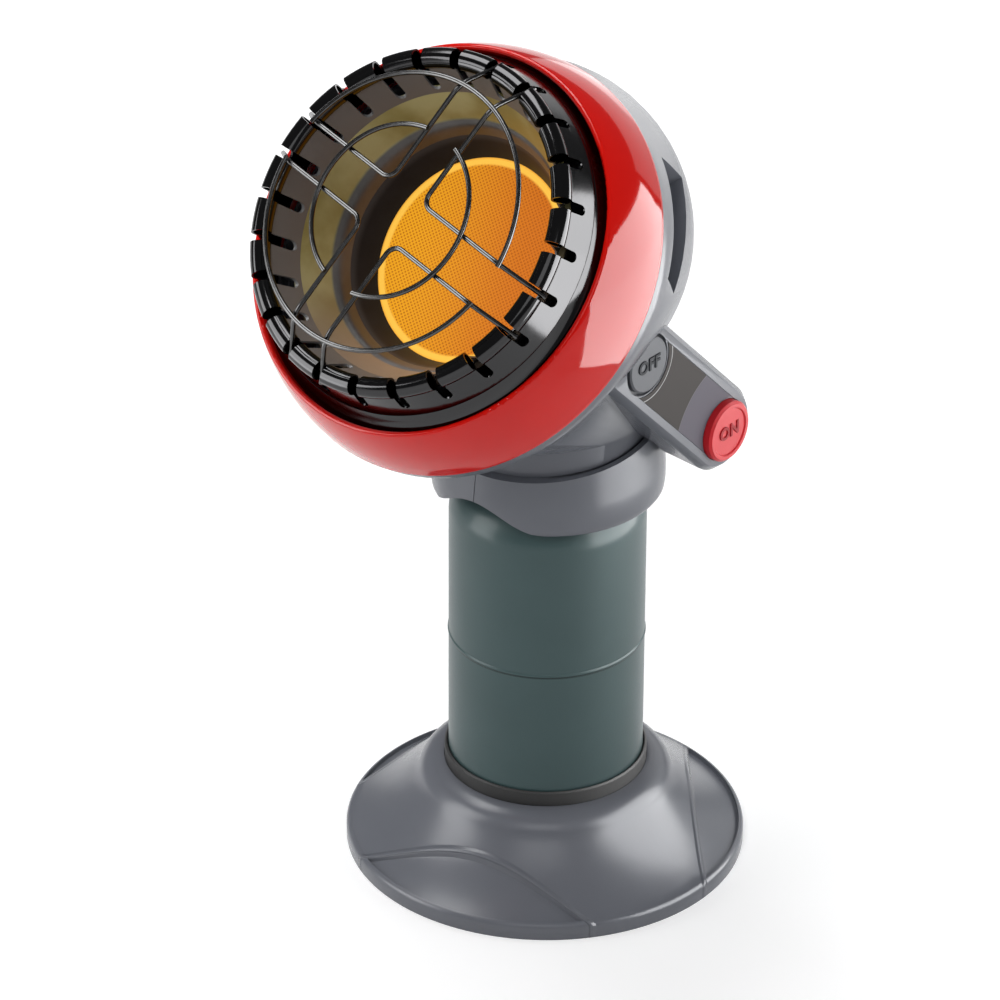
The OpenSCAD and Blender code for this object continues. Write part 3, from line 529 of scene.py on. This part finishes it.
# raised letters on a cap; they face +X and read along +Y
def raisedLetters(name, word, letters, body, finish):
    bpy.ops.object.text_add(location=letters["place"], rotation=(math.pi / 2, 0, math.pi / 2))
    text = bpy.context.object
    text.data.body = word
    text.data.align_x = "CENTER"
    text.data.align_y = "CENTER"
    text.data.size = letters["height"] * 1.38
    text.data.space_character = letters["spacing"]
    text.data.offset = letters["weight"]
    text.data.extrude = letters["raise"]
    text.data.bevel_depth = letters["edge"]
    text.data.bevel_resolution = 1
    text.name = name
    activate(text)
    bpy.ops.object.convert(target="MESH")
    piece = bpy.context.object
    bpy.ops.object.transform_apply(location=True, rotation=True, scale=True)
    finishMesh(piece, finish, 40)
    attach(piece, body)


# the letters' darker finishes are painted shade for the shade of their relief
raisedLetters("onLetters", "ON", {
    "height": 0.0066, "spacing": 1.12, "weight": 0.00018, "raise": 0.0004,
    "edge": 0.00015, "place": (0.0833, 0.0368, 0.2469),
}, "on_button", "onLetterShade")
raisedLetters("offLetters", "OFF", {
    "height": 0.0065, "spacing": 1.06, "weight": 0.00018, "raise": 0.0004,
    "edge": 0.00015, "place": (0.0808, -0.0249, 0.3086),
}, "off_button", "offLetterShade")
print("letters made")


# ---- studio
def paleFloor():
    floor = {"liftNear": 0.34, "liftMore": 0.62, "from": 0.1, "to": 1.6}
    finish = Finish("paleFloor", roughness=0.9, specular=0.0, colour=(0.8, 0.8, 0.8))
    seen = 0
    for ray in ("Is Camera Ray", "Is Glossy Ray", "Is Transmission Ray"):
        seen = finish.node("ShaderNodeLightPath", {}, {}, ray) + seen
    # the lamps fade with distance, so the floor far from the object is lifted more
    away = finish.length(finish.along((1, 0, 0)), finish.along((0, 1, 0)))
    far = finish.rise(away, floor["from"], floor["to"])
    lift = finish.node("ShaderNodeEmission", {}, {
        "Color": (1, 1, 1), "Strength": seen * (far * floor["liftMore"] + floor["liftNear"])})
    plain = Signal(finish, finish.shader.outputs[0])
    added = finish.node("ShaderNodeAddShader", {}, {0: plain, 1: lift})
    output = finish.tree.nodes["Material Output"]
    finish.tree.links.new(added.socket, output.inputs["Surface"])
    return finish.material


bpy.ops.mesh.primitive_plane_add(size=60, location=(0, 0, 0))
floor = bpy.context.object
floor.name = "studioFloor"
floor.data.materials.append(paleFloor())

# the camera looks down from the front, on the control pod's side and a long way off
viewAzimuth = math.radians(39.2)
viewHeight = math.radians(29.9)
viewRoll = math.radians(0.30)
viewDistance = 3.0
aim = Vector((-0.0184, -0.0150, 0.1939))
cameraSide = Vector((math.cos(viewAzimuth), math.sin(viewAzimuth), 0))
cameraFront = Vector((math.sin(viewAzimuth), -math.cos(viewAzimuth), 0))
subject = Vector((0, 0, 0.3))

# each box: degrees to the right of the camera and up, metres away, width and height,
# then its brightness as light and in reflections
softBoxes = {
    "softBoxRight": (80, -1, 0.55, 0.72, 0.54, 1.7, 11.0),
    "softBoxBack": (146, 8, 0.9, 0.85, 0.5, 1.2, 1.0),
    "softBoxLeft": (-78, 6, 0.85, 0.45, 0.7, 3.0, 6.0),
    "softBoxFront": (-5, 38, 1.5, 0.9, 0.6, 4.4, 1.5),
    "softBoxTop": (-125, 68, 1.3, 0.8, 0.8, 5.4, 8.0),
}
for name, (turn, lift, away, width, tall, light, shine) in softBoxes.items():
    turn, lift = math.radians(turn), math.radians(lift)
    level = cameraFront * math.cos(turn) + cameraSide * math.sin(turn)
    place = subject + (level * math.cos(lift) + Vector((0, 0, math.sin(lift)))) * away
    place.z = max(place.z, tall / 2 + 0.01)
    # a ray stops at the first lamp it meets, so the reflected one stands just in front
    for share, brightness, ahead in (("Light", light, 0), ("Shine", shine, 0.01)):
        lamp = bpy.data.lights.new(name + share, "AREA")
        lamp.shape = "RECTANGLE"
        lamp.size, lamp.size_y = width, tall
        lamp.energy = brightness * math.pi * width * tall
        holder = bpy.data.objects.new(name + share, lamp)
        bpy.context.scene.collection.objects.link(holder)
        holder.location = place + (subject - place).normalized() * ahead
        holder.rotation_euler = (subject - place).to_track_quat("-Z", "Y").to_euler()
        holder.visible_camera = False
        holder.visible_diffuse = share == "Light"
        holder.visible_glossy = share == "Shine"

world = bpy.data.worlds.new("studio")
bpy.context.scene.world = world
world.use_nodes = True
world.node_tree.nodes["Background"].inputs["Color"].default_value = (0.14, 0.14, 0.145, 1)

camera = bpy.data.cameras.new("camera")
camera.sensor_width = 36
camera.lens = 218.1
cameraHolder = bpy.data.objects.new("camera", camera)
bpy.context.scene.collection.objects.link(cameraHolder)
back = cameraFront * math.cos(viewHeight) + Vector((0, 0, math.sin(viewHeight)))
cameraHolder.location = aim + back * viewDistance
looking = (-back).to_track_quat("-Z", "Y").to_matrix() @ Matrix.Rotation(viewRoll, 3, "Z")
cameraHolder.rotation_euler = looking.to_euler()
bpy.context.scene.camera = cameraHolder
bpy.context.scene.view_settings.view_transform = "Standard"

print("scene ready")
